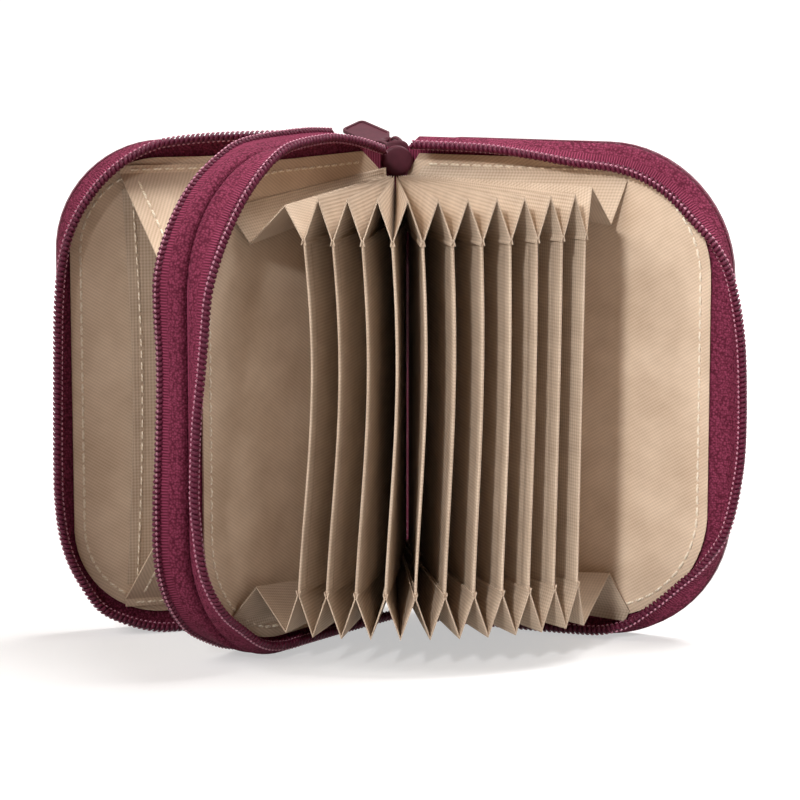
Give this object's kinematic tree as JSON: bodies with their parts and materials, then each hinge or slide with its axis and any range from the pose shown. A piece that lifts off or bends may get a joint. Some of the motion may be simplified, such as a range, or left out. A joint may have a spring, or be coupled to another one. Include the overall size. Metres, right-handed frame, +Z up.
{
  "type": "zip-around card wallet",
  "caption": "Two-compartment zip-around wallet standing open on edge: three stiff leaves on one spine, a fan of pleated card dividers and a side compartment with a slip pocket.",
  "frame": {"origin": "on the surface the wallet stands on, under the middle of its bounding box", "axes": "+X to the right cover's side, +Y to the spine at the back, +Z up; the open fan faces -Y"},
  "size_m": [0.151, 0.08, 0.1129],
  "materials": {
    "leather": "grained leather, dyed burgundy",
    "zip_tape": "woven zip tape, burgundy",
    "zip_coil": "nylon coil, burgundy",
    "lining_twill": "fine beige twill",
    "divider_fabric": "stiffened beige ribbed fabric",
    "pleat_fabric": "folded beige ribbed fabric",
    "board": "stiffening board",
    "leaf_edge": "fabric-bound stiff core, burgundy edge",
    "painted_slider": "satin burgundy paint on cast zinc"
  },
  "bodies": {
    "middle_leaf": {"middle_leaf_board": "leaf_edge", "middle_leaf_lining_left": "lining_twill", "middle_leaf_lining_right": "lining_twill", "zip_a_tape_left": "zip_tape", "zip_a_coil_left": "zip_coil", "zip_b_tape_right": "zip_tape", "zip_b_coil_right": "zip_coil", "spine_leather": "leather"},
    "left_cover": {"left_cover_lining": "lining_twill", "left_cover_board": "board", "left_cover_leather": "leather", "zip_b_tape_left": "zip_tape", "zip_b_coil_left": "zip_coil", "slip_pocket": "pleat_fabric", "upper_side_gusset": "pleat_fabric", "lower_side_gusset": "pleat_fabric"},
    "divider_01": {"divider_01": "divider_fabric", "upper_pleat_01": "pleat_fabric", "lower_pleat_01": "pleat_fabric"},
    "divider_02": {"divider_02": "divider_fabric", "upper_pleat_02": "pleat_fabric", "lower_pleat_02": "pleat_fabric"},
    "divider_03": {"divider_03": "divider_fabric", "upper_pleat_03": "pleat_fabric", "lower_pleat_03": "pleat_fabric"},
    "divider_04": {"divider_04": "divider_fabric", "upper_pleat_04": "pleat_fabric", "lower_pleat_04": "pleat_fabric"},
    "divider_05": {"divider_05": "divider_fabric", "upper_pleat_05": "pleat_fabric", "lower_pleat_05": "pleat_fabric"},
    "divider_06": {"divider_06": "divider_fabric", "upper_pleat_06": "pleat_fabric", "lower_pleat_06": "pleat_fabric"},
    "divider_07": {"divider_07": "divider_fabric", "upper_pleat_07": "pleat_fabric", "lower_pleat_07": "pleat_fabric"},
    "divider_08": {"divider_08": "divider_fabric", "upper_pleat_08": "pleat_fabric", "lower_pleat_08": "pleat_fabric"},
    "divider_09": {"divider_09": "divider_fabric", "upper_pleat_09": "pleat_fabric", "lower_pleat_09": "pleat_fabric"},
    "divider_10": {"divider_10": "divider_fabric", "upper_pleat_10": "pleat_fabric", "lower_pleat_10": "pleat_fabric"},
    "divider_11": {"divider_11": "divider_fabric", "upper_pleat_11": "pleat_fabric", "lower_pleat_11": "pleat_fabric"},
    "right_cover": {"right_cover_lining": "lining_twill", "right_cover_board": "board", "right_cover_leather": "leather", "zip_a_tape_right": "zip_tape", "zip_a_coil_right": "zip_coil", "upper_pleat_12": "pleat_fabric", "lower_pleat_12": "pleat_fabric"},
    "zip_a_slider": {"zip_a_slider": "painted_slider"},
    "zip_a_pull_tab": {"zip_a_pull_tab": "painted_slider"},
    "zip_b_slider": {"zip_b_slider": "painted_slider"},
    "zip_b_pull_tab": {"zip_b_pull_tab": "painted_slider"}
  },
  "joints": [
    {"name": "divider_01_hinge", "type": "hinge", "parent": "middle_leaf", "child": "divider_01", "pos_m": [-0.00039, 0.02144, 0], "axis": [0, 0, 1], "range_deg": [-18, 4.5], "deforming": ["upper_pleat_01", "lower_pleat_01"]},
    {"name": "divider_02_hinge", "type": "hinge", "parent": "divider_01", "child": "divider_02", "pos_m": [0.00037, 0.02118, 0], "axis": [0, 0, 1], "range_deg": [-5.5, 1.38], "deforming": ["upper_pleat_02", "lower_pleat_02"]},
    {"name": "divider_03_hinge", "type": "hinge", "parent": "divider_02", "child": "divider_03", "pos_m": [0.00115, 0.02099, 0], "axis": [0, 0, 1], "range_deg": [-5.5, 1.38], "deforming": ["upper_pleat_03", "lower_pleat_03"]},
    {"name": "divider_04_hinge", "type": "hinge", "parent": "divider_03", "child": "divider_04", "pos_m": [0.00194, 0.02088, 0], "axis": [0, 0, 1], "range_deg": [-5.5, 1.38], "deforming": ["upper_pleat_04", "lower_pleat_04"]},
    {"name": "divider_05_hinge", "type": "hinge", "parent": "divider_04", "child": "divider_05", "pos_m": [0.00274, 0.02085, 0], "axis": [0, 0, 1], "range_deg": [-5.5, 1.38], "deforming": ["upper_pleat_05", "lower_pleat_05"]},
    {"name": "divider_06_hinge", "type": "hinge", "parent": "divider_05", "child": "divider_06", "pos_m": [0.00354, 0.02089, 0], "axis": [0, 0, 1], "range_deg": [-5.5, 1.38], "deforming": ["upper_pleat_06", "lower_pleat_06"]},
    {"name": "divider_07_hinge", "type": "hinge", "parent": "divider_06", "child": "divider_07", "pos_m": [0.00433, 0.02101, 0], "axis": [0, 0, 1], "range_deg": [-5.5, 1.38], "deforming": ["upper_pleat_07", "lower_pleat_07"]},
    {"name": "divider_08_hinge", "type": "hinge", "parent": "divider_07", "child": "divider_08", "pos_m": [0.00511, 0.02121, 0], "axis": [0, 0, 1], "range_deg": [-5.5, 1.38], "deforming": ["upper_pleat_08", "lower_pleat_08"]},
    {"name": "divider_09_hinge", "type": "hinge", "parent": "divider_08", "child": "divider_09", "pos_m": [0.00586, 0.02148, 0], "axis": [0, 0, 1], "range_deg": [-5.5, 1.38], "deforming": ["upper_pleat_09", "lower_pleat_09"]},
    {"name": "divider_10_hinge", "type": "hinge", "parent": "divider_09", "child": "divider_10", "pos_m": [0.00658, 0.02182, 0], "axis": [0, 0, 1], "range_deg": [-5.5, 1.38], "deforming": ["upper_pleat_10", "lower_pleat_10"]},
    {"name": "divider_11_hinge", "type": "hinge", "parent": "divider_10", "child": "divider_11", "pos_m": [0.00727, 0.02222, 0], "axis": [0, 0, 1], "range_deg": [-5.5, 1.38], "deforming": ["upper_pleat_11", "lower_pleat_11"]},
    {"name": "right_cover_hinge", "type": "hinge", "parent": "divider_11", "child": "right_cover", "pos_m": [0.00776, 0.02258, 0], "axis": [0, 0, 1], "range_deg": [-32, 8], "deforming": ["upper_pleat_12", "lower_pleat_12", "zip_a_tape_left", "zip_a_coil_left", "zip_a_tape_right", "zip_a_coil_right", "spine_leather"]},
    {"name": "left_cover_hinge", "type": "hinge", "parent": "middle_leaf", "child": "left_cover", "pos_m": [-0.00758, 0.02684, 0], "axis": [0, 0, 1], "range_deg": [-24, 36], "deforming": ["upper_side_gusset", "lower_side_gusset", "zip_b_tape_left", "zip_b_coil_left", "zip_b_tape_right", "zip_b_coil_right"]},
    {"name": "zip_a_slide", "type": "slide", "parent": "divider_03", "child": "zip_a_slider", "axis": [0, 0, 1], "range_m": [0, 0.005]},
    {"name": "zip_b_slide", "type": "slide", "parent": "middle_leaf", "child": "zip_b_slider", "axis": [0, 0, 1], "range_m": [0, 0.004]},
    {"name": "zip_a_pull_tab_hinge", "type": "hinge", "parent": "zip_a_slider", "child": "zip_a_pull_tab", "pos_m": [-0.00003, 0.02862, 0.1075], "axis": [0.6915, 0.6678, 0.2756], "range_deg": [0, 60]},
    {"name": "zip_b_pull_tab_hinge", "type": "hinge", "parent": "zip_b_slider", "child": "zip_b_pull_tab", "pos_m": [-0.00162, 0.02912, 0.094], "axis": [1, 0, 0], "range_deg": [0, 10]}
  ],
  "couplings": [
    {"joint": "divider_01_hinge", "follows": "right_cover_hinge", "ratio": 0.5625},
    {"joint": "divider_02_hinge", "follows": "right_cover_hinge", "ratio": 0.17188},
    {"joint": "divider_03_hinge", "follows": "right_cover_hinge", "ratio": 0.17188},
    {"joint": "divider_04_hinge", "follows": "right_cover_hinge", "ratio": 0.17188},
    {"joint": "divider_05_hinge", "follows": "right_cover_hinge", "ratio": 0.17188},
    {"joint": "divider_06_hinge", "follows": "right_cover_hinge", "ratio": 0.17188},
    {"joint": "divider_07_hinge", "follows": "right_cover_hinge", "ratio": 0.17188},
    {"joint": "divider_08_hinge", "follows": "right_cover_hinge", "ratio": 0.17188},
    {"joint": "divider_09_hinge", "follows": "right_cover_hinge", "ratio": 0.17188},
    {"joint": "divider_10_hinge", "follows": "right_cover_hinge", "ratio": 0.17188},
    {"joint": "divider_11_hinge", "follows": "right_cover_hinge", "ratio": 0.17188}
  ]
}
